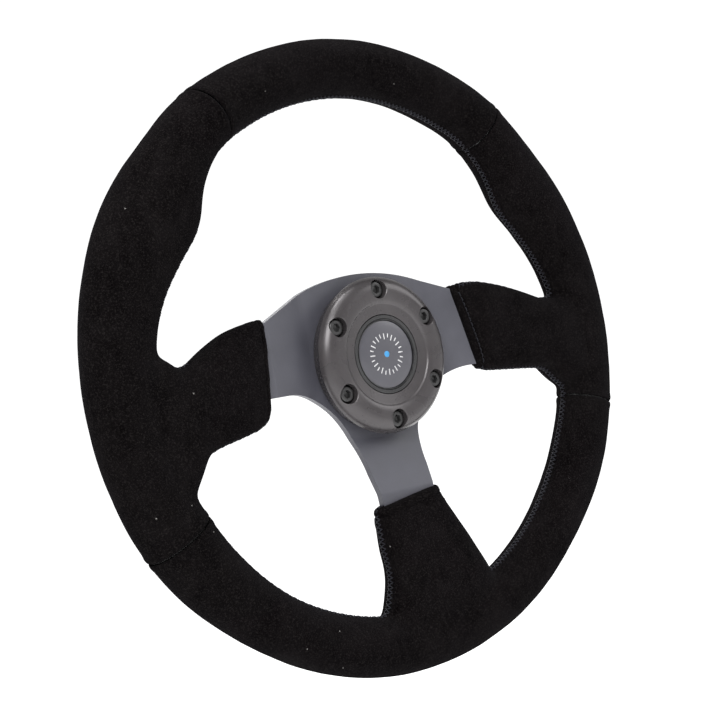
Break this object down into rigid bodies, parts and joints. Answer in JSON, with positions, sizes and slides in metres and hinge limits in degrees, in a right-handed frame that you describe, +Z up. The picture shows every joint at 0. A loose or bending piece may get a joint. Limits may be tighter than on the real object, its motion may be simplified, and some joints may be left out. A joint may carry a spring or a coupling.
{
  "type": "quick release steering wheel",
  "caption": "Three-spoke sports steering wheel with a suede-covered rim, a central horn button and a sliding-collar quick-release socket behind the hub.",
  "frame": {"origin": "mouth of the quick release's socket, on the steering axis", "axes": "+Y along the steering axis, away from the driver; +Z up, towards the rim's top; +X to the driver's right"},
  "size_m": [0.3484, 0.0695, 0.3395],
  "materials": {
    "suede": "black brushed suede, very matt",
    "foam": "moulded polyurethane foam",
    "hoop_steel": "drawn steel bar",
    "plate": "black anodised, satin",
    "ring": "dark gunmetal anodised, satin",
    "bolt": "black oxide",
    "housing": "fine moulded texture",
    "cap": "satin moulded",
    "emblem": "clear domed resin over dark grey",
    "contact": "stamped sheet",
    "spring": "spring wire",
    "coupling": "black anodised, turned",
    "collar": "black anodised, grooved grip",
    "ball": "polished bearing steel"
  },
  "bodies": {
    "wheel": {"spoke_plate": "plate", "rim_hoop": "hoop_steel", "rim_foam": "foam", "suede_top": "suede", "suede_left": "suede", "suede_right": "suede", "suede_bottom": "suede", "horn_ring": "ring", "ring_bolt_1": "bolt", "ring_bolt_2": "bolt", "ring_bolt_3": "bolt", "ring_bolt_4": "bolt", "ring_bolt_5": "bolt", "ring_bolt_6": "bolt", "button_housing": "housing", "contact_carrier": "housing", "fixed_contact": "contact", "horn_terminal": "contact", "ground_terminal": "contact", "horn_spring": "spring", "coupling_hub": "coupling", "snap_ring": "spring", "collar_spring": "spring"},
    "horn_button": {"button_cap": "cap", "emblem_disc": "emblem", "moving_contact": "contact"},
    "release_collar": {"release_collar": "collar"},
    "ball_1": {"lock_ball_1": "ball"},
    "ball_2": {"lock_ball_2": "ball"},
    "ball_3": {"lock_ball_3": "ball"},
    "ball_4": {"lock_ball_4": "ball"},
    "ball_5": {"lock_ball_5": "ball"},
    "ball_6": {"lock_ball_6": "ball"}
  },
  "joints": [
    {"name": "horn_press", "type": "slide", "parent": "wheel", "child": "horn_button", "axis": [0, 1, 0], "range_m": [0, 0.0015], "stiffness_N_per_m": 1500, "springref_m": -0.004, "deforming": ["horn_spring"]},
    {"name": "release_slide", "type": "slide", "parent": "wheel", "child": "release_collar", "axis": [0, -1, 0], "range_m": [0, 0.006], "stiffness_N_per_m": 2000, "springref_m": -0.004, "deforming": ["collar_spring"]},
    {"name": "ball_1_slide", "type": "slide", "parent": "wheel", "child": "ball_1", "axis": [0.5, 0, 0.866], "range_m": [0, 0.001]},
    {"name": "ball_2_slide", "type": "slide", "parent": "wheel", "child": "ball_2", "axis": [1, 0, 0], "range_m": [0, 0.001]},
    {"name": "ball_3_slide", "type": "slide", "parent": "wheel", "child": "ball_3", "axis": [0.5, 0, -0.866], "range_m": [0, 0.001]},
    {"name": "ball_4_slide", "type": "slide", "parent": "wheel", "child": "ball_4", "axis": [-0.5, 0, -0.866], "range_m": [0, 0.001]},
    {"name": "ball_5_slide", "type": "slide", "parent": "wheel", "child": "ball_5", "axis": [-1, 0, 0], "range_m": [0, 0.001]},
    {"name": "ball_6_slide", "type": "slide", "parent": "wheel", "child": "ball_6", "axis": [-0.5, 0, 0.866], "range_m": [0, 0.001]}
  ],
  "couplings": [
    {"joint": "ball_1_slide", "follows": "release_slide", "ratio": 0.1666},
    {"joint": "ball_2_slide", "follows": "release_slide", "ratio": 0.1666},
    {"joint": "ball_3_slide", "follows": "release_slide", "ratio": 0.1666},
    {"joint": "ball_4_slide", "follows": "release_slide", "ratio": 0.1666},
    {"joint": "ball_5_slide", "follows": "release_slide", "ratio": 0.1666},
    {"joint": "ball_6_slide", "follows": "release_slide", "ratio": 0.1666}
  ]
}
